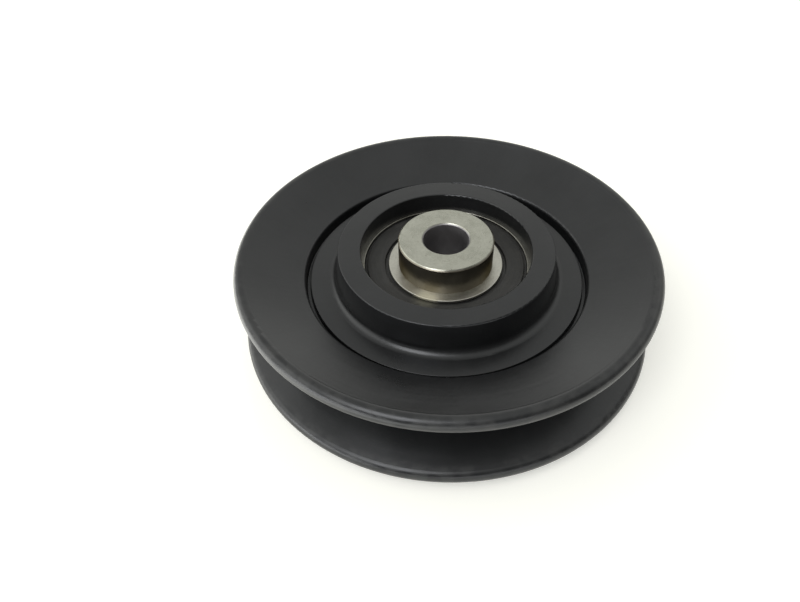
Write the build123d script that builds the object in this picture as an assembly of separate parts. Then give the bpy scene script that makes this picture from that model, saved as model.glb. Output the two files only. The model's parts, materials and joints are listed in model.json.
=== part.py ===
from build123d import *
import os
from math import cos, pi, radians, sin, sqrt, tan

# Belt tensioner idler: a grooved pulley of two moulded halves, which trap a sealed deep groove
# ball bearing between their hub lips, with a stepped steel spacer pressed in from each side.
# Millimetres. The origin is the pulley's centre, in the middle of its V groove, and +Z runs
# along the bolt axis towards the front. The rear half and every other rear piece mirror the front.

# Driving sizes
RIM_RADIUS = 45.0  # outside of the rounded rims
RIM_ROUND = 1.6  # radius of the rounded rim, half the lip's thickness
RIM_PITCH = 16.4  # between the middles of the two rims, along the axis
GROOVE_ANGLE = 36.0  # included angle of the V groove
GROOVE_FLOOR_RADIUS = 32.5
OVERALL_WIDTH = 24.7  # over the two spacers' end faces
BOLT_BORE_RADIUS = 4.85  # clears a 3/8 inch bolt

# Bearing of the common 17 x 40 x 12 size, with 17/64 inch balls
BEARING_BORE_RADIUS = 8.5
BEARING_OUTER_RADIUS = 20.0
BEARING_WIDTH = 12.0
BALL_RADIUS = 25.4 * 17 / 64 / 2
BALL_COUNT = 8
BALL_PLAY = 0.05  # radial gap between a ball and each raceway
RACE_CONFORMITY = 1.04  # radius of a raceway's section over the ball's
PITCH_RADIUS = (BEARING_BORE_RADIUS + BEARING_OUTER_RADIUS) / 2
INNER_SHOULDER_RADIUS = 12.25
OUTER_SHOULDER_RADIUS = 16.45
RING_ROUND = 0.6
RACE_EDGE_ROUND = 0.15

# Moulded halves
HUB_PROUD = 0.35  # the hub stands just proud of the rims
HUB_TOP = RIM_PITCH / 2 + RIM_ROUND + HUB_PROUD
HUB_OPENING_RADIUS = 18.2
HUB_OUTER_RADIUS = 23.0
HUB_FOOT_RADIUS = 23.9  # the hub's wall widens towards the web, for mould draft
HUB_FILLET = 1.9
HUB_EDGE_ROUND = 0.3
WEB_FACE = 3.15  # height of the flat web above the joint plane
WEB_OUTER_RADIUS = 29.4
WEB_CORNER_ROUND = 0.12
SEAM_OUTER_RADIUS = 30.4  # a narrow groove parts the web from the flange
SEAM_DEPTH = 1.4  # below the web
SEAM_FLOOR_ROUND = 0.3
FLANGE_LIFT = 1.3  # the flange starts this much above the web
FLANGE_EDGE_ROUND = 0.7
DISH_OUTER_RADIUS = 42.4  # where the dished face meets the rounded rim
DISH_SAG = 0.35  # how far the dished face curves below a straight cone
FLOOR_FILLET = 0.8
TONGUE_RADIUS = 26.8  # middle of the weld tongue on the joint plane
TONGUE_WIDTH = 1.2
TONGUE_HEIGHT = 1.2
TONGUE_GAP = 0.1

# Spacers
COLLAR_RADIUS = 10.1
COLLAR_CHAMFER = 0.35
BORE_CHAMFER = 0.3
SHANK_LENGTH = 5.9
SHANK_LEAD = 0.4
SHANK_GAP = 0.01  # keeps the pressed surfaces from sharing volume

# Seals: a rubber ring bonded over a steel washer, clipped into the outer ring
SEAL_MOUTH_RADIUS = 17.5
SEAL_GROOVE_RADIUS = 17.9
SEAL_GROOVE_LOW = 4.7
SEAL_GROOVE_HIGH = 5.6
SEAL_FACE = 5.75
SEAL_GAP = 0.06
SEAL_CHANNEL_WIDTH = 0.55  # the rubber's shallow channel, beside the outer ring
SEAL_CHANNEL_DEPTH = 0.5
SEAL_BAND_INNER_RADIUS = 13.1
LIP_NOTCH_RADIUS = 11.75  # bottom of the notch in the inner ring that the seal's lip runs in
LIP_NOTCH_LOW = 4.5
LIP_NOTCH_HIGH = 5.5
LIP_NOTCH_SLOPE = 0.2
INSERT_INNER_RADIUS = 13.5
INSERT_OUTER_RADIUS = 16.9
INSERT_THICKNESS = 0.35

# Cage: two pressed ribbons riveted together between the balls
CAGE_SHEET = 0.6
CAGE_PLAY = 0.11
CAGE_INNER_RADIUS = 12.8
CAGE_OUTER_RADIUS = 15.7
RIVET_RADIUS = 0.6
RIVET_HEAD_RADIUS = 1.05
RIVET_HEAD_HEIGHT = 0.45

half_bearing = BEARING_WIDTH / 2
race_radius = BALL_RADIUS * RACE_CONFORMITY
ball_angle = 360 / BALL_COUNT


def turned(corners):
    """A solid of revolution about Z. Each corner is (radius, height) or (radius, height, rounding)."""
    face = make_face(Polyline([corner[:2] for corner in corners], close=True))
    for corner in corners:
        if len(corner) == 3:
            here = Vector(corner[0], corner[1])
            face = fillet(face.vertices().sort_by_distance(here)[0], corner[2])
    return revolve(Plane.XZ * face, Axis.Z)


def ring(inner, outer, low, high):
    return turned([(inner, low), (outer, low), (outer, high), (inner, high)])


def round_the_axis(shape):
    """One copy of the shape at each ball's place."""
    return [Rot(0, 0, ball_angle * i) * shape for i in range(BALL_COUNT)]


def mirrored(shape):
    return mirror(shape, about=Plane.XY)


def pulley_half():
    """The front half: hub with its bearing lip, flat web, seam groove, dished flange and rounded rim."""
    slope = radians(GROOVE_ANGLE / 2)
    rim = (RIM_RADIUS - RIM_ROUND, RIM_PITCH / 2)
    wall_top = (rim[0] + RIM_ROUND * sin(slope), rim[1] - RIM_ROUND * cos(slope))
    floor_edge = wall_top[1] - (wall_top[0] - GROOVE_FLOOR_RADIUS) * tan(slope)
    dish_rise = sqrt(RIM_ROUND**2 - (rim[0] - DISH_OUTER_RADIUS) ** 2)
    dish_outer = (DISH_OUTER_RADIUS, rim[1] + dish_rise)
    seam_floor = WEB_FACE - SEAM_DEPTH
    flange_edge = WEB_FACE + FLANGE_LIFT

    dish_inner = (SEAM_OUTER_RADIUS, flange_edge)
    dish_middle = ((dish_inner[0] + dish_outer[0]) / 2, (dish_inner[1] + dish_outer[1]) / 2 - DISH_SAG)

    outline = Polyline(
        wall_top,
        (GROOVE_FLOOR_RADIUS, floor_edge),
        (GROOVE_FLOOR_RADIUS, 0),
        (BEARING_OUTER_RADIUS, 0),
        (BEARING_OUTER_RADIUS, half_bearing),
        (HUB_OPENING_RADIUS, half_bearing),
        (HUB_OPENING_RADIUS, HUB_TOP),
        (HUB_OUTER_RADIUS, HUB_TOP),
        (HUB_FOOT_RADIUS, WEB_FACE),
        (WEB_OUTER_RADIUS, WEB_FACE),
        (WEB_OUTER_RADIUS, seam_floor),
        (SEAM_OUTER_RADIUS, seam_floor),
        dish_inner,
    )
    dish = ThreePointArc(dish_inner, dish_middle, dish_outer)
    rim_arc = ThreePointArc(dish_outer, (RIM_RADIUS, rim[1]), wall_top)
    face = make_face(outline + dish + rim_arc)
    for place, rounding in (
        ((GROOVE_FLOOR_RADIUS, floor_edge), FLOOR_FILLET),
        ((HUB_OPENING_RADIUS, HUB_TOP), HUB_EDGE_ROUND),
        ((HUB_OUTER_RADIUS, HUB_TOP), HUB_EDGE_ROUND),
        ((HUB_FOOT_RADIUS, WEB_FACE), HUB_FILLET),
        ((WEB_OUTER_RADIUS, WEB_FACE), WEB_CORNER_ROUND),
        ((WEB_OUTER_RADIUS, seam_floor), SEAM_FLOOR_ROUND),
        ((SEAM_OUTER_RADIUS, seam_floor), SEAM_FLOOR_ROUND),
        (dish_inner, FLANGE_EDGE_ROUND),
    ):
        face = fillet(face.vertices().sort_by_distance(Vector(*place))[0], rounding)
    return revolve(Plane.XZ * face, Axis.Z)


def front_half():
    inner = TONGUE_RADIUS - TONGUE_WIDTH / 2
    outer = TONGUE_RADIUS + TONGUE_WIDTH / 2
    tip = -TONGUE_HEIGHT
    tongue = turned([(inner, 0.5), (inner, tip, 0.3), (outer, tip, 0.3), (outer, 0.5)])
    return pulley_half() + tongue


def rear_half():
    inner = TONGUE_RADIUS - TONGUE_WIDTH / 2 - TONGUE_GAP
    outer = TONGUE_RADIUS + TONGUE_WIDTH / 2 + TONGUE_GAP
    slot = ring(inner, outer, -TONGUE_HEIGHT - 2 * TONGUE_GAP, 1)
    return mirrored(pulley_half()) - slot


def spacer():
    """The front spacer: a collar against the inner ring's face, and a shank in the ring's bore."""
    collar_end = OVERALL_WIDTH / 2
    shank_end = half_bearing - SHANK_LENGTH
    shank = BEARING_BORE_RADIUS - SHANK_GAP
    return turned(
        [
            (BOLT_BORE_RADIUS, shank_end),
            (shank - SHANK_LEAD, shank_end),
            (shank, shank_end + SHANK_LEAD),
            (shank, half_bearing),
            (COLLAR_RADIUS, half_bearing),
            (COLLAR_RADIUS, collar_end - COLLAR_CHAMFER),
            (COLLAR_RADIUS - COLLAR_CHAMFER, collar_end),
            (BOLT_BORE_RADIUS + BORE_CHAMFER, collar_end),
            (BOLT_BORE_RADIUS, collar_end - BORE_CHAMFER),
        ]
    )


def raceway(bottom_radius, outward):
    """The torus that cuts a raceway whose deepest point is at bottom_radius."""
    middle = bottom_radius - race_radius if outward else bottom_radius + race_radius
    return Torus(middle, race_radius)


def with_mirror(upper):
    """The upper corners of a ring's section, followed by the same corners below the middle."""
    lower = [(radius, -height, *rounding) for radius, height, *rounding in reversed(upper)]
    return upper + lower


def inner_ring():
    shoulder = INNER_SHOULDER_RADIUS
    upper = [
        (shoulder, LIP_NOTCH_LOW),
        (LIP_NOTCH_RADIUS, LIP_NOTCH_LOW + LIP_NOTCH_SLOPE),
        (LIP_NOTCH_RADIUS, LIP_NOTCH_HIGH - LIP_NOTCH_SLOPE),
        (shoulder, LIP_NOTCH_HIGH),
        (shoulder, half_bearing, RACE_EDGE_ROUND),
        (BEARING_BORE_RADIUS, half_bearing, RING_ROUND),
    ]
    bottom = PITCH_RADIUS - BALL_RADIUS - BALL_PLAY
    return turned(with_mirror(upper)) - raceway(bottom, outward=False)


def outer_ring():
    upper = [
        (BEARING_OUTER_RADIUS, half_bearing, RING_ROUND),
        (SEAL_MOUTH_RADIUS, half_bearing, RACE_EDGE_ROUND),
        (SEAL_MOUTH_RADIUS, SEAL_GROOVE_HIGH + 0.1),
        (SEAL_GROOVE_RADIUS, SEAL_GROOVE_HIGH - 0.2),
        (SEAL_GROOVE_RADIUS, SEAL_GROOVE_LOW),
        (OUTER_SHOULDER_RADIUS, SEAL_GROOVE_LOW),
    ]
    bottom = PITCH_RADIUS + BALL_RADIUS + BALL_PLAY
    return turned(with_mirror(upper)) - raceway(bottom, outward=True)


def ball():
    return Pos(PITCH_RADIUS, 0, 0) * Sphere(BALL_RADIUS)


def seal_insert():
    """The steel washer that stiffens the front seal."""
    low = SEAL_GROOVE_LOW + SEAL_GAP
    return ring(INSERT_INNER_RADIUS, INSERT_OUTER_RADIUS, low, low + INSERT_THICKNESS)


def seal_rubber():
    """The front seal's rubber: a bead in the outer ring, a shallow channel, a flat band and a lip."""
    low = SEAL_GROOVE_LOW + SEAL_GAP
    top = low + INSERT_THICKNESS
    bead = SEAL_GROOVE_RADIUS - SEAL_GAP
    mouth = SEAL_MOUTH_RADIUS - SEAL_GAP
    channel = SEAL_FACE - SEAL_CHANNEL_DEPTH
    clear = INNER_SHOULDER_RADIUS + SEAL_GAP
    lip_tip = LIP_NOTCH_RADIUS + SEAL_GAP
    return turned(
        [
            (INSERT_OUTER_RADIUS, low),
            (bead, low),
            (bead, SEAL_GROOVE_HIGH - 0.3),
            (mouth, SEAL_GROOVE_HIGH),
            (mouth - 0.05, channel),
            (mouth - SEAL_CHANNEL_WIDTH, channel),
            (mouth - SEAL_CHANNEL_WIDTH - 0.1, SEAL_FACE, 0.1),
            (SEAL_BAND_INNER_RADIUS, SEAL_FACE, 0.15),
            (SEAL_BAND_INNER_RADIUS - 0.1, low + 0.3),
            (clear + 0.1, low + 0.25),
            (lip_tip, low + 0.2),
            (lip_tip, low + 0.05),
            (clear + 0.3, low),
            (INSERT_INNER_RADIUS, low),
            (INSERT_INNER_RADIUS, top),
            (INSERT_OUTER_RADIUS, top),
        ]
    )


def cage_half():
    """The front ribbon: flat lands between the balls, domed over each ball."""
    pocket_radius = BALL_RADIUS + CAGE_PLAY
    tall = pocket_radius + CAGE_SHEET
    at_ball = Pos(PITCH_RADIUS, 0, 0)
    domes = round_the_axis(at_ball * Sphere(pocket_radius + CAGE_SHEET))
    pockets = round_the_axis(at_ball * Sphere(pocket_radius))
    holes = round_the_axis(rivet_place() * Cylinder(RIVET_RADIUS, 4))
    band = ring(CAGE_INNER_RADIUS, CAGE_OUTER_RADIUS, 0, 2 * tall)
    land = ring(CAGE_INNER_RADIUS, CAGE_OUTER_RADIUS, 0, CAGE_SHEET)
    return land + (band & (Part() + domes)) - pockets - holes


def rivet_place():
    return Rot(0, 0, ball_angle / 2) * Pos(PITCH_RADIUS, 0, 0)


def cage_rivets():
    """Eight rivets, headed on both faces of the cage."""
    seat, top = CAGE_SHEET, CAGE_SHEET + RIVET_HEAD_HEIGHT
    upper = [(0, top), (RIVET_HEAD_RADIUS * 0.6, top), (RIVET_HEAD_RADIUS, seat), (RIVET_RADIUS, seat)]
    return Part() + round_the_axis(rivet_place() * turned(with_mirror(upper)))


def build():
    pieces = {
        "front_half": front_half(),
        "rear_half": rear_half(),
        "outer_ring": outer_ring(),
        "inner_ring": inner_ring(),
        "front_seal_rubber": seal_rubber(),
        "rear_seal_rubber": mirrored(seal_rubber()),
        "front_seal_insert": seal_insert(),
        "rear_seal_insert": mirrored(seal_insert()),
        "cage_front": cage_half(),
        "cage_rear": mirrored(cage_half()),
        "cage_rivets": cage_rivets(),
        "front_spacer": spacer(),
        "rear_spacer": mirrored(spacer()),
    }
    for number, placed in enumerate(round_the_axis(ball()), start=1):
        pieces[f"ball_{number}"] = placed
    return pieces


def main():
    os.makedirs("parts", exist_ok=True)
    for name, piece in build().items():
        export_step(piece, f"parts/{name}.step")


main()
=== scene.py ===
import json
import math

import bpy
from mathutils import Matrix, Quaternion, Vector


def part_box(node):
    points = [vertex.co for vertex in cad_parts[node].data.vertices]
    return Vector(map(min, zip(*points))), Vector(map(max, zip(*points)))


# Belt tensioner idler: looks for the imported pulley, bearing and spacers, on a white table in a pale room.
# Metres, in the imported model's frame: +Z runs along the bolt axis to the front.
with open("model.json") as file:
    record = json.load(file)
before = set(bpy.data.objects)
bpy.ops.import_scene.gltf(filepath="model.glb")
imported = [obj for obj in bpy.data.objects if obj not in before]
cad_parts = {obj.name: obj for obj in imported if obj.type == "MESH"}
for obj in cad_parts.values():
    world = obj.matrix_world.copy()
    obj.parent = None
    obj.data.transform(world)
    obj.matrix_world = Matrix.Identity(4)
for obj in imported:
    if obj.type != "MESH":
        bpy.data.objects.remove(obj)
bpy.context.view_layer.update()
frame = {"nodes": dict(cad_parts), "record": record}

mm = 0.001

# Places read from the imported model
hub_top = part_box("front_half")[1].z
rim_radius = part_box("front_half")[1].x
floor_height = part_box("rear_spacer")[0].z
collar_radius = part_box("front_spacer")[1].x
ring_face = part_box("inner_ring")[1].z

bore_radius = 4.85 * mm  # the bolt hole through the spacers
rim_height = hub_top - 0.35 * mm  # the hub stands this much proud of the rims
bead_radius = rim_radius - 2.6 * mm  # where the dished face meets the rounded rim


# ---------------------------------------------------------------- node helpers
def new_material(name):
    material = bpy.data.materials.new(name)
    material.use_nodes = True
    tree = material.node_tree
    return material, tree, tree.nodes["Principled BSDF"]


def put(tree, value, socket):
    """Links the value if it is a socket, and else sets it on the socket."""
    if isinstance(value, bpy.types.NodeSocket):
        tree.links.new(value, socket)
    else:
        socket.default_value = value


def maths(tree, operation, a, b=0.0):
    made = tree.nodes.new("ShaderNodeMath")
    made.operation = operation
    put(tree, a, made.inputs[0])
    put(tree, b, made.inputs[1])
    return made.outputs[0]


def weighed(tree, *shares):
    """The sum of some values, each times its share, given as pairs."""
    total = None
    for value, share in shares:
        term = maths(tree, "MULTIPLY", value, share)
        total = term if total is None else maths(tree, "ADD", total, term)
    return total


def remap(tree, value, low, high, new_low=0.0, new_high=1.0):
    """The value's stretch from low to high, taken smoothly to the new one and held within it."""
    made = tree.nodes.new("ShaderNodeMapRange")
    made.interpolation_type = "SMOOTHSTEP"
    for socket, number in zip(made.inputs, (value, low, high, new_low, new_high)):
        put(tree, number, socket)
    return made.outputs[0]


def mix(tree, factor, colour_a, colour_b):
    """Colour a where the factor is 0 and colour b where it is 1."""
    made = tree.nodes.new("ShaderNodeMix")
    made.data_type = "RGBA"
    factor_socket = made.inputs[0]
    colour_a_socket, colour_b_socket = made.inputs[6:8]
    colour_out = made.outputs[2]
    put(tree, factor, factor_socket)
    put(tree, colour_a, colour_a_socket)
    put(tree, colour_b, colour_b_socket)
    return colour_out


def overlay(tree, colour, cover, share, other):
    """The colour with at most this share of another one over it, where cover is 1."""
    return mix(tree, maths(tree, "MULTIPLY", cover, share), colour, other)


def noise(tree, vector, size, detail=3.0, roughness=0.5):
    """Noise whose features are about size across, in metres."""
    made = tree.nodes.new("ShaderNodeTexNoise")
    tree.links.new(vector, made.inputs["Vector"])
    made.inputs["Scale"].default_value = 1 / size
    made.inputs["Detail"].default_value = detail
    made.inputs["Roughness"].default_value = roughness
    return made.outputs[0]


def bump(tree, height, depth, below=None):
    """Relief of the given depth in metres, laid over the relief below."""
    made = tree.nodes.new("ShaderNodeBump")
    made.inputs["Distance"].default_value = depth
    tree.links.new(height, made.inputs["Height"])
    if below is not None:
        tree.links.new(below, made.inputs["Normal"])
    return made.outputs["Normal"]


def placed(tree):
    """The point on the piece, its parts, and its distance from the bolt axis."""
    point = tree.nodes.new("ShaderNodeTexCoord").outputs["Object"]
    parts = tree.nodes.new("ShaderNodeSeparateXYZ")
    tree.links.new(point, parts.inputs[0])
    x, y, z = parts.outputs
    radius = maths(tree, "SQRT", weighed(tree, (x, x), (y, y)))
    return point, x, y, z, radius


def along_rings(tree, x, y, across, radius, reach):
    """A vector for marks round the axis. A radian counts as the reach, so a short reach makes them long."""
    joined = tree.nodes.new("ShaderNodeCombineXYZ")
    for socket, value in zip(joined.inputs, (x, y)):
        turned = maths(tree, "MULTIPLY", maths(tree, "DIVIDE", value, radius), reach)
        tree.links.new(turned, socket)
    tree.links.new(across, joined.inputs[2])
    return joined.outputs[0]


def drawn_out(tree, vector, share):
    """The vector squeezed along X, so that marks made with it lie long in that direction."""
    made = tree.nodes.new("ShaderNodeVectorMath")
    made.operation = "MULTIPLY"
    tree.links.new(vector, made.inputs[0])
    made.inputs[1].default_value = (share, 1.0, 1.0)
    return made.outputs[0]


def streaks(tree, vector, width, cover):
    """Thin marks along the way the vector is drawn out, kept only in some patches."""
    noise_size, patch_size = 4 * width, 40 * width
    line = remap(tree, noise(tree, vector, noise_size, detail=1.0), 0.64, 0.72)
    patch = remap(tree, noise(tree, vector, patch_size, detail=2.0), cover, cover + 0.08)
    return maths(tree, "MULTIPLY", line, patch)


def specks(tree, vector, spacing, size):
    """Round spots, one in each cell of the given spacing, of which only some are large enough to show."""
    cells = tree.nodes.new("ShaderNodeTexVoronoi")
    tree.links.new(vector, cells.inputs["Vector"])
    cells.inputs["Scale"].default_value = 1 / spacing
    chosen = tree.nodes.new("ShaderNodeSeparateColor")
    tree.links.new(cells.outputs["Color"], chosen.inputs[0])
    reach = remap(tree, chosen.outputs[0], 0.6, 1.0, 0.0, size / spacing)
    inside = maths(tree, "SUBTRACT", reach, cells.outputs["Distance"])
    return remap(tree, inside, 0.0, 0.3 * size / spacing)


# ---------------------------------------------------------------- materials
def black_nylon():
    """Glass-filled black nylon off a turned mould: fine grain, faint rings, scuffs and rubbed rims, whose
    lighter grey is partly a painted sheen.
    """
    dark, light = (0.0064, 0.0067, 0.0071, 1), (0.0108, 0.0112, 0.0117, 1)
    # Rubbed rim grey: wear, made lighter as a painted sheen on the beads
    rubbed_sheen_grey = (0.036, 0.036, 0.035, 1)
    scuffed_grey = (0.026, 0.026, 0.025, 1)
    dent_black = (0.004, 0.004, 0.004, 1)
    material, tree, shader = new_material("black_nylon")
    point, x, y, z, radius = placed(tree)
    across = maths(tree, "ADD", radius, maths(tree, "MULTIPLY", z, 0.7))  # grows over faces and walls alike
    rings = along_rings(tree, x, y, across, radius, 2.2 * mm)
    long_rings = along_rings(tree, x, y, across, radius, 5 * mm)
    spokes = along_rings(tree, x, y, maths(tree, "MULTIPLY", radius, 0.12), radius, 40 * mm)

    cloud = noise(tree, point, 14 * mm, detail=4.0, roughness=0.6)
    fibres = noise(tree, spokes, 0.9 * mm, detail=3.0, roughness=0.65)
    grain = noise(tree, point, 0.22 * mm, detail=2.0, roughness=0.6)
    orange_peel = noise(tree, point, 0.9 * mm, detail=2.0)
    mould_rings = noise(tree, rings, 0.32 * mm, detail=3.0, roughness=0.7)
    wide_rings = noise(tree, rings, 2.4 * mm, detail=1.0)
    scuffs = streaks(tree, long_rings, 0.05 * mm, 0.5)
    dents = specks(tree, point, 6.5 * mm, 0.3 * mm)

    # Handling has rubbed the rims in patches; their lighter grey is partly wear and partly a painted sheen
    # on the beads
    on_bead = remap(tree, radius, bead_radius, bead_radius + 1.2 * mm)
    patches = remap(tree, noise(tree, point, 2.6 * mm, detail=5.0), 0.4, 0.62)
    rubbed = maths(tree, "MULTIPLY", on_bead, patches)

    tone = weighed(tree, (cloud, 0.75), (fibres, 0.25))
    colour = mix(tree, remap(tree, tone, 0.32, 0.68), dark, light)
    # Painted sheen in part: the rubbed patches lighten the rim beads beyond their wear
    colour = overlay(tree, colour, rubbed, 0.4, rubbed_sheen_grey)
    colour = overlay(tree, colour, scuffs, 0.3, scuffed_grey)
    colour = overlay(tree, colour, dents, 0.4, dent_black)
    tree.links.new(colour, shader.inputs["Base Color"])

    dull = remap(tree, cloud, 0.17, 0.83, 0.26, 0.35)
    dull = maths(tree, "ADD", dull, maths(tree, "MULTIPLY", rubbed, 0.06))
    tree.links.new(dull, shader.inputs["Roughness"])
    shader.inputs["Specular IOR Level"].default_value = 0.58
    shader.inputs["Specular Tint"].default_value = (0.94, 0.96, 1.0, 1)

    relief = bump(tree, orange_peel, 0.010 * mm)
    relief = bump(tree, grain, 0.003 * mm, relief)
    relief = bump(tree, mould_rings, 0.004 * mm, relief)
    relief = bump(tree, wide_rings, 0.022 * mm, relief)
    relief = bump(tree, dents, -0.006 * mm, relief)
    tree.links.new(relief, shader.inputs["Normal"])
    return material


def machined_steel(name, dark, light, dull_low, dull_high, pitch, stain=0.0, spacer=False):
    """Turned or ground steel: rings of the given pitch, hair scratches, dull clouds and a little tarnish.

    Stain is the strength of the dried oil on it. On the spacers, painted shade darkens the collar wall, its
    edge reflection and the bore."""
    tarnish_brown = (0.20, 0.165, 0.11, 1)
    pit_black = (0.07, 0.06, 0.05, 1)
    dried_oil = (0.62, 0.58, 0.42, 1)
    # Painted shade: darker copies of the steel for the spacer's collar wall
    shaded_wall_dark, shaded_wall_light = (0.16, 0.145, 0.118, 1), (0.26, 0.24, 0.20, 1)
    # Painted shade: darker, greyer copies of the steel for the bore
    shaded_bore_dark, shaded_bore_light = (0.26, 0.25, 0.26, 1), (0.38, 0.37, 0.38, 1)
    # Painted shade: the wall's edge tint dims the collar wall's reflection
    face_edge, shaded_wall_edge = (1, 1, 1, 1), (0.30, 0.28, 0.24, 1)
    material, tree, shader = new_material(name)
    point, x, y, z, radius = placed(tree)
    across = maths(tree, "ADD", radius, z)
    rings = along_rings(tree, x, y, across, radius, 0.8 * mm)
    fine = noise(tree, rings, pitch, detail=3.0, roughness=0.75)
    coarse = noise(tree, rings, 6 * pitch, detail=2.0)
    cloud = noise(tree, point, 3.2 * mm, detail=5.0, roughness=0.65)
    mottle = noise(tree, point, 0.5 * mm, detail=3.0, roughness=0.6)
    hair = streaks(tree, drawn_out(tree, point, 0.06), 0.02 * mm, 0.48)
    pits = specks(tree, point, 1.3 * mm, 0.14 * mm)

    tone = weighed(tree, (fine, 0.35), (cloud, 0.4), (mottle, 0.25))
    colour = mix(tree, remap(tree, tone, 0.34, 0.66), dark, light)
    tarnish = remap(tree, noise(tree, point, 1.9 * mm, detail=6.0, roughness=0.7), 0.56, 0.72)
    colour = overlay(tree, colour, tarnish, 0.35, tarnish_brown)
    colour = overlay(tree, colour, pits, 0.7, pit_black)
    shader.inputs["Metallic"].default_value = 1
    if stain:
        film = oil_stain(tree, point, stain)
        colour = mix(tree, film, colour, dried_oil)
        tree.links.new(maths(tree, "SUBTRACT", 1.0, film), shader.inputs["Metallic"])
    if spacer:
        on_wall = remap(tree, radius, collar_radius - 0.3 * mm, collar_radius - 0.1 * mm)
        in_bore = remap(tree, radius, bore_radius + 0.3 * mm, bore_radius + 0.05 * mm)
        # Painted shade on the collar wall: darker steel and a dimmed edge reflection
        colour = mix(tree, on_wall, colour, mix(tree, cloud, shaded_wall_dark, shaded_wall_light))
        tree.links.new(mix(tree, on_wall, face_edge, shaded_wall_edge), shader.inputs["Specular Tint"])
        # Painted shade in the bore: a darker, greyer copy of the steel
        colour = mix(tree, in_bore, colour, mix(tree, cloud, shaded_bore_dark, shaded_bore_light))
    tree.links.new(colour, shader.inputs["Base Color"])

    dull = remap(tree, weighed(tree, (cloud, 0.6), (coarse, 0.4)), 0.3, 0.7, dull_low, dull_high)
    dull = maths(tree, "ADD", dull, maths(tree, "MULTIPLY", tarnish, 0.12))
    if spacer:
        dull = maths(tree, "ADD", dull, maths(tree, "MULTIPLY", on_wall, 0.04))
        dull = maths(tree, "ADD", dull, maths(tree, "MULTIPLY", in_bore, 0.22))
    tree.links.new(dull, shader.inputs["Roughness"])

    relief = bump(tree, coarse, 0.05 * pitch)
    relief = bump(tree, fine, 0.03 * pitch, relief)
    relief = bump(tree, maths(tree, "ADD", hair, pits), -0.006 * mm, relief)
    tree.links.new(relief, shader.inputs["Normal"])
    return material


def oil_stain(tree, point, strength):
    """A dried film of preserving oil that has crept over ring and seal, front and a little left."""
    middle = (-0.38 * collar_radius, -1.13 * collar_radius, ring_face)
    whole_within, gone_beyond = 2.2 * mm, 5.2 * mm
    away = tree.nodes.new("ShaderNodeVectorMath")
    away.operation = "DISTANCE"
    tree.links.new(point, away.inputs[0])
    away.inputs[1].default_value = middle
    ragged = maths(tree, "MULTIPLY", noise(tree, point, 1.2 * mm, detail=5.0), 3 * mm)
    reach = maths(tree, "ADD", away.outputs["Value"], ragged)
    return remap(tree, reach, gone_beyond, whole_within, 0.0, strength)


def polished_balls():
    """Chrome steel, lapped: nearly a mirror, with a breath of grease and hair lines."""
    bright, greasy = (0.62, 0.62, 0.60, 1), (0.52, 0.51, 0.46, 1)
    material, tree, shader = new_material("ball_steel")
    point = placed(tree)[0]
    film = noise(tree, point, 1.5 * mm, detail=4.0)
    hair = streaks(tree, drawn_out(tree, point, 0.1), 0.015 * mm, 0.5)
    colour = mix(tree, remap(tree, film, 0.35, 0.7), bright, greasy)
    tree.links.new(colour, shader.inputs["Base Color"])
    shader.inputs["Metallic"].default_value = 1
    dull = maths(tree, "ADD", remap(tree, film, 0.35, 0.7, 0.06, 0.16), maths(tree, "MULTIPLY", hair, 0.1))
    tree.links.new(dull, shader.inputs["Roughness"])
    tree.links.new(bump(tree, hair, -0.001 * mm), shader.inputs["Normal"])
    return material


def seal_rubber():
    """Nitrile rubber: matt, moulded in rings, with dust and the edge of the oil stain."""
    dark, light = (0.017, 0.017, 0.0165, 1), (0.027, 0.027, 0.026, 1)
    dusty_grey = (0.075, 0.072, 0.064, 1)
    dried_oil = (0.12, 0.115, 0.085, 1)
    material, tree, shader = new_material("seal_rubber")
    point, x, y, _, radius = placed(tree)
    rings = along_rings(tree, x, y, radius, radius, 1.5 * mm)
    grain = noise(tree, point, 0.16 * mm, detail=3.0, roughness=0.6)
    mould_rings = noise(tree, rings, 0.4 * mm, detail=3.0, roughness=0.6)
    cloud = noise(tree, point, 3.5 * mm, detail=5.0, roughness=0.6)
    dust = maths(tree, "MULTIPLY", remap(tree, cloud, 0.42, 0.7), remap(tree, grain, 0.35, 0.7))
    colour = mix(tree, remap(tree, mould_rings, 0.3, 0.7), dark, light)
    colour = overlay(tree, colour, dust, 0.5, dusty_grey)
    colour = mix(tree, oil_stain(tree, point, 0.7), colour, dried_oil)
    tree.links.new(colour, shader.inputs["Base Color"])
    tree.links.new(remap(tree, cloud, 0.3, 0.7, 0.5, 0.68), shader.inputs["Roughness"])
    relief = bump(tree, grain, 0.012 * mm)
    relief = bump(tree, mould_rings, 0.012 * mm, relief)
    tree.links.new(relief, shader.inputs["Normal"])
    return material


def sheet_steel():
    """Cold-rolled strip, pressed: rolled grain and hair lines in one direction, under dull clouds."""
    dark, light = (0.36, 0.355, 0.33, 1), (0.54, 0.535, 0.51, 1)
    material, tree, shader = new_material("sheet_steel")
    point = placed(tree)[0]
    along_strip = drawn_out(tree, point, 0.06)
    rolled = noise(tree, along_strip, 0.12 * mm, detail=3.0, roughness=0.7)
    cloud = noise(tree, point, 2.2 * mm, detail=5.0, roughness=0.65)
    hair = streaks(tree, along_strip, 0.02 * mm, 0.5)
    tone = weighed(tree, (rolled, 0.5), (cloud, 0.5))
    colour = mix(tree, remap(tree, tone, 0.34, 0.66), dark, light)
    tree.links.new(colour, shader.inputs["Base Color"])
    shader.inputs["Metallic"].default_value = 1
    tree.links.new(remap(tree, cloud, 0.3, 0.7, 0.26, 0.42), shader.inputs["Roughness"])
    relief = bump(tree, rolled, 0.003 * mm)
    relief = bump(tree, hair, -0.003 * mm, relief)
    tree.links.new(relief, shader.inputs["Normal"])
    return material


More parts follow.
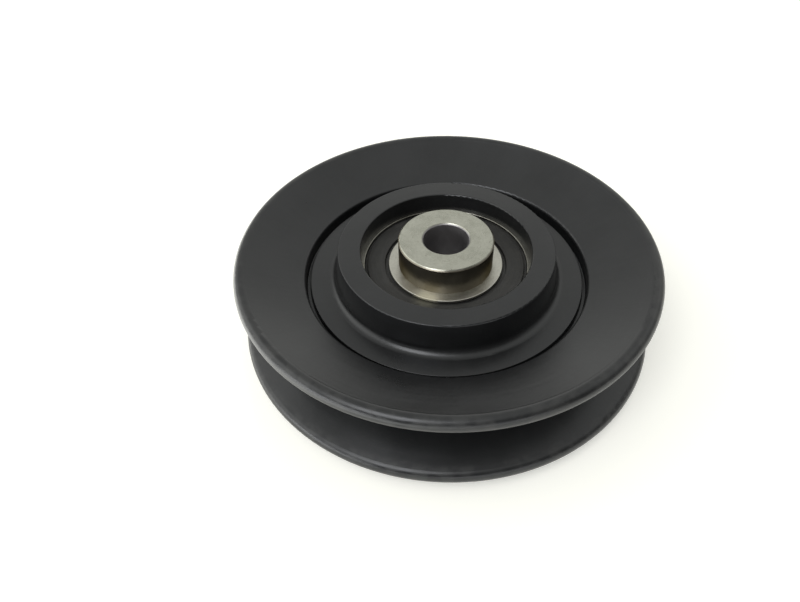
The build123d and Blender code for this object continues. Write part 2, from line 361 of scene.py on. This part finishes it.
def dress_nodes():
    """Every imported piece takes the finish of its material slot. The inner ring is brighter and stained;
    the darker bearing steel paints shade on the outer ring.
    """
    finishes = {
        "black_nylon": black_nylon(),
        # Painted shade: the bearing steel is a darker copy of the inner ring's steel, for the dim outer ring
        "bearing_steel": machined_steel(
            "bearing_steel", dark=(0.24, 0.235, 0.21, 1), light=(0.36, 0.355, 0.32, 1),
            dull_low=0.26, dull_high=0.38, pitch=0.05 * mm,
        ),
        "ball_steel": polished_balls(),
        "seal_rubber": seal_rubber(),
        "sheet_steel": sheet_steel(),
        "spacer_steel": machined_steel(
            "spacer_steel", dark=(0.365, 0.37, 0.32, 1), light=(0.50, 0.505, 0.445, 1),
            dull_low=0.24, dull_high=0.34, pitch=0.09 * mm, spacer=True,
        ),
    }
    stained = machined_steel(
        "inner_ring_steel", dark=(0.46, 0.455, 0.41, 1), light=(0.62, 0.615, 0.56, 1),
        dull_low=0.36, dull_high=0.48, pitch=0.05 * mm, stain=0.7,
    )
    for part in frame["record"]["subparts"]:
        finish = stained if part["node"] == "inner_ring" else finishes[part["material_slot"]]
        for slot in frame["nodes"][part["node"]].material_slots:
            slot.material = finish


# ---------------------------------------------------------------- stage, light and camera
def make_floor():
    """A white table that glows a little, so that shadows stay pale, and more so left of the part."""
    half = 1.5
    glow_starts, glow_full = 0.045, 0.085  # distances to the left of the bolt axis
    faint, strong = 0.41, 2.5
    corners = [(-half, -half), (half, -half), (half, half), (-half, half)]
    mesh = bpy.data.meshes.new("floor")
    mesh.from_pydata([(x, y, floor_height) for x, y in corners], [], [(0, 1, 2, 3)])
    floor = bpy.data.objects.new("floor", mesh)
    bpy.context.scene.collection.objects.link(floor)
    material, tree, shader = new_material("floor")
    shader.inputs["Base Color"].default_value = (0.75, 0.75, 0.70, 1)
    shader.inputs["Roughness"].default_value = 0.8
    shader.inputs["Specular IOR Level"].default_value = 0.2
    shader.inputs["Emission Color"].default_value = (1, 1, 0.965, 1)
    point = tree.nodes.new("ShaderNodeTexCoord").outputs["Object"]
    leftward = along(tree, point, azimuth=200, elevation=0)
    lit = remap(tree, leftward, glow_starts, glow_full, faint, strong)
    tree.links.new(lit, shader.inputs["Emission Strength"])
    mesh.materials.append(material)


def towards(azimuth, elevation):
    """The unit vector that way. Azimuth 0 is +X and 90 is +Y, in degrees."""
    turn, rise = math.radians(azimuth), math.radians(elevation)
    return Vector((math.cos(rise) * math.cos(turn), math.cos(rise) * math.sin(turn), math.sin(rise)))


def along(tree, vector, azimuth, elevation):
    """How far the vector reaches that way."""
    made = tree.nodes.new("ShaderNodeVectorMath")
    made.operation = "DOT_PRODUCT"
    tree.links.new(vector, made.inputs[0])
    made.inputs[1].default_value = towards(azimuth, elevation)
    return made.outputs["Value"]


def soft_light(name, azimuth, elevation, width, height, radiance):
    """A softbox 1 m away that faces the part. Radiance is what its face shows."""
    away = towards(azimuth, elevation)
    data = bpy.data.lights.new(name, "AREA")
    data.shape = "RECTANGLE"
    data.size = width
    data.size_y = height
    data.energy = radiance * math.pi * width * height
    light = bpy.data.objects.new(name, data)
    light.location = away
    light.rotation_euler = (-away).to_track_quat("-Z", "Y").to_euler()
    bpy.context.scene.collection.objects.link(light)


def make_camera():
    """The camera looks down on the front at about 41 degrees, with the part right of centre and above it."""
    distance = 0.1451  # from the bolt axis at the front rim's height
    elevation = math.radians(40.91)
    roll = math.radians(1.57)
    aim_right = math.radians(3.86)  # how far off the middle of the picture the part is seen
    aim_up = math.radians(4.49)
    away = Vector((0, -math.cos(elevation), math.sin(elevation)))
    seen_at = Vector((math.tan(aim_right), math.tan(aim_up), -1))
    turn = (-away).to_track_quat("-Z", "Y") @ Quaternion((0, 0, 1), roll)
    turn = turn @ seen_at.rotation_difference(Vector((0, 0, -1)))
    data = bpy.data.cameras.new("camera")
    data.sensor_width = 36
    data.lens = 30.58
    data.clip_start = 0.001
    camera = bpy.data.objects.new("camera", data)
    camera.location = Vector((0, 0, rim_height)) + distance * away
    camera.rotation_mode = "QUATERNION"
    camera.rotation_quaternion = turn
    bpy.context.scene.collection.objects.link(camera)
    bpy.context.scene.camera = camera


def glow(tree, direction, azimuth, elevation, edge, full, radiance):
    """A soft patch of the room round one direction. Edge and full are cosines of the angle from it."""
    return remap(tree, along(tree, direction, azimuth, elevation), edge, full, 0.0, radiance)


def make_world():
    """A pale room: light from above and behind, a brighter wall on the left, and a dark front."""
    least = 0.08
    world = bpy.data.worlds.new("studio")
    world.use_nodes = True
    tree = world.node_tree
    direction = tree.nodes.new("ShaderNodeTexCoord").outputs["Generated"]
    strength = glow(tree, direction, azimuth=100, elevation=60, edge=0.15, full=0.75, radiance=0.66)
    for patch in (
        glow(tree, direction, azimuth=180, elevation=22, edge=0.75, full=0.95, radiance=1.2),
        glow(tree, direction, azimuth=20, elevation=25, edge=0.75, full=0.97, radiance=0.27),
        glow(tree, direction, azimuth=90, elevation=13, edge=0.93, full=0.995, radiance=0.4),
    ):
        strength = maths(tree, "ADD", strength, patch)
    strength = maths(tree, "ADD", strength, least)
    # Looked at past the floor's edge, the room is one even pale tone all round
    seen = tree.nodes.new("ShaderNodeLightPath").outputs["Is Camera Ray"]
    unseen = maths(tree, "SUBTRACT", 1.0, seen)
    strength = maths(tree, "ADD", maths(tree, "MULTIPLY", strength, unseen), seen)
    background = tree.nodes["Background"]
    background.inputs["Color"].default_value = (1, 1, 0.95, 1)
    tree.links.new(strength, background.inputs["Strength"])
    bpy.context.scene.world = world


dress_nodes()
make_floor()
make_camera()
make_world()
soft_light("key", azimuth=240, elevation=53, width=0.5, height=0.6, radiance=4.6)
soft_light("low_window", azimuth=218, elevation=9, width=0.8, height=0.22, radiance=4.5)
soft_light("front_wall", azimuth=292, elevation=8, width=0.9, height=0.22, radiance=1.8)
bpy.context.scene.view_settings.view_transform = "Standard"
